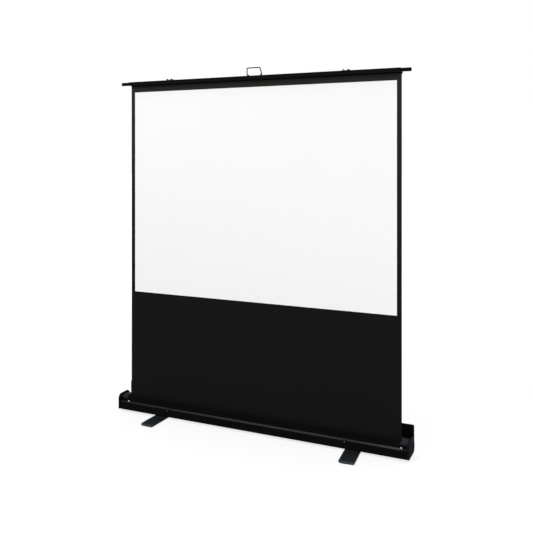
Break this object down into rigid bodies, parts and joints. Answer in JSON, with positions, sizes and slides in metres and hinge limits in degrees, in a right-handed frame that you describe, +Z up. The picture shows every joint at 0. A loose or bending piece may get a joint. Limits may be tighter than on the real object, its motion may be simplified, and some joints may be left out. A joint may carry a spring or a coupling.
{
  "type": "portable floor projector screen",
  "caption": "Portable floor-standing projector screen: white cloth with a black border pulled up from a long black case on swivel feet by a folding lift behind it.",
  "frame": {"origin": "on the floor, under the middle of the case", "axes": "+X along the case to the viewer's right, +Y away from the viewer, +Z up"},
  "size_m": [1.875, 0.452, 2.1545],
  "materials": {
    "black_case": "satin black powder coat on extruded aluminium",
    "black_bar": "satin black anodised extrusion",
    "black_wire": "black coated steel wire, plate and screws",
    "black_feet": "satin black coated plate with bevelled edges",
    "black_plastic": "fine-grained moulded plastic",
    "rubber": "matt black rubber",
    "steel": "bright zinc-plated steel",
    "aluminium": "plain drawn aluminium",
    "nylon": "natural nylon",
    "cloth": "matt white projection cloth with a black border"
  },
  "bodies": {
    "case": {"base_channel": "black_case", "rear_panel": "black_case", "end_flange_left": "black_plastic", "end_flange_right": "black_plastic", "bearing_block_left": "black_plastic", "bearing_block_right": "black_plastic", "cap_screw_front_left": "black_wire", "cap_screw_front_right": "black_wire", "cap_screw_back_left": "black_wire", "cap_screw_back_right": "black_wire", "foot_bolt_left": "steel", "foot_bolt_right": "steel", "base_rail": "aluminium", "base_pivot_bracket": "steel", "base_pivot_pin": "steel", "spring_arbor": "steel", "latch_catch_left": "black_case", "latch_catch_right": "black_case", "catch_rivet_left": "black_wire", "catch_rivet_right": "black_wire", "screen_fabric": "cloth"},
    "left_foot": {"foot_left": "black_feet", "foot_pad_left_front": "rubber", "foot_pad_left_back": "rubber"},
    "right_foot": {"foot_right": "black_feet", "foot_pad_right_front": "rubber", "foot_pad_right_back": "rubber"},
    "roller": {"roller_tube": "aluminium", "fabric_roll": "cloth", "roller_plug_left": "black_plastic", "roller_plug_right": "black_plastic", "roller_spring": "steel"},
    "arm_lower_front": {"lift_arm_lower_front": "aluminium", "cross_pin_lower": "steel", "elbow_pin_right": "steel"},
    "arm_lower_back": {"lift_arm_lower_back": "aluminium", "wheel_axle_lower": "steel", "elbow_pin_left": "steel"},
    "arm_upper_back": {"lift_arm_upper_back": "aluminium", "cross_pin_upper": "steel"},
    "arm_upper_front": {"lift_arm_upper_front": "aluminium", "wheel_axle_upper": "steel"},
    "lower_wheel": {"wheel_lower": "nylon"},
    "upper_wheel": {"wheel_upper": "nylon"},
    "top_bar": {"top_bar_profile": "black_bar", "top_bar_tube": "black_bar", "bar_knob_left": "black_plastic", "bar_knob_right": "black_plastic", "fabric_clamp_strip": "black_bar", "top_rail": "aluminium", "top_pivot_bracket": "steel", "top_pivot_pin": "steel", "handle_base": "black_wire", "latch_bracket_left": "black_wire", "latch_bracket_right": "black_wire"},
    "handle": {"handle_bail": "black_wire"},
    "left_latch": {"latch_loop_left": "black_wire"},
    "right_latch": {"latch_loop_right": "black_wire"}
  },
  "joints": [
    {"name": "lift_fold", "type": "hinge", "parent": "case", "child": "arm_lower_front", "pos_m": [-0.305, 0.03, 0.0701], "axis": [0, 1, 0], "range_deg": [0, 58.91], "deforming": ["screen_fabric"]},
    {"name": "lower_cross", "type": "hinge", "parent": "arm_lower_front", "child": "arm_lower_back", "pos_m": [-0.01332, 0.035, 0.5753], "axis": [0, 1, 0], "range_deg": [-117.82, 0]},
    {"name": "right_elbow", "type": "hinge", "parent": "arm_lower_front", "child": "arm_upper_back", "pos_m": [0.27836, 0.035, 1.0805], "axis": [0, 1, 0], "range_deg": [-117.82, 0]},
    {"name": "upper_cross", "type": "hinge", "parent": "arm_upper_back", "child": "arm_upper_front", "pos_m": [-0.01332, 0.035, 1.5857], "axis": [0, 1, 0], "range_deg": [0, 117.82]},
    {"name": "bar_pivot", "type": "hinge", "parent": "arm_upper_back", "child": "top_bar", "pos_m": [-0.305, 0.042, 2.0909], "axis": [0, 1, 0], "range_deg": [0, 58.91]},
    {"name": "roller_wind", "type": "hinge", "parent": "case", "child": "roller", "pos_m": [0, -0.0236, 0.05], "axis": [-1, 0, 0], "range_deg": [0, 5393.4]},
    {"name": "lower_wheel_spin", "type": "hinge", "parent": "arm_lower_back", "child": "lower_wheel", "pos_m": [0.27836, 0.0551, 0.0701], "axis": [0, 1, 0], "continuous": true},
    {"name": "upper_wheel_spin", "type": "hinge", "parent": "arm_upper_front", "child": "upper_wheel", "pos_m": [0.27836, 0.0551, 2.0909], "axis": [0, 1, 0], "continuous": true},
    {"name": "left_foot_turn", "type": "hinge", "parent": "case", "child": "left_foot", "pos_m": [-0.61523, 0, 0.008], "axis": [0, 0, 1], "range_deg": [-88.2, 1.8]},
    {"name": "right_foot_turn", "type": "hinge", "parent": "case", "child": "right_foot", "pos_m": [0.61523, 0, 0.008], "axis": [0, 0, 1], "range_deg": [-4.8, 85.2]},
    {"name": "handle_swing", "type": "hinge", "parent": "top_bar", "child": "handle", "pos_m": [0, -0.006, 2.1097], "axis": [1, 0, 0], "range_deg": [-108, 68]},
    {"name": "left_latch_swing", "type": "hinge", "parent": "top_bar", "child": "left_latch", "pos_m": [-0.57409, -0.0396, 2.1075], "axis": [1, 0, 0], "range_deg": [0, 254.2]},
    {"name": "right_latch_swing", "type": "hinge", "parent": "top_bar", "child": "right_latch", "pos_m": [0.57409, -0.0396, 2.1075], "axis": [1, 0, 0], "range_deg": [0, 254.2]}
  ],
  "couplings": [
    {"joint": "lower_cross", "follows": "lift_fold", "ratio": -2},
    {"joint": "right_elbow", "follows": "lift_fold", "ratio": -2},
    {"joint": "upper_cross", "follows": "lift_fold", "ratio": 2},
    {"joint": "bar_pivot", "follows": "lift_fold", "ratio": 1},
    {"joint": "roller_wind", "follows": "lift_fold", "ratio": 91.536}
  ]
}
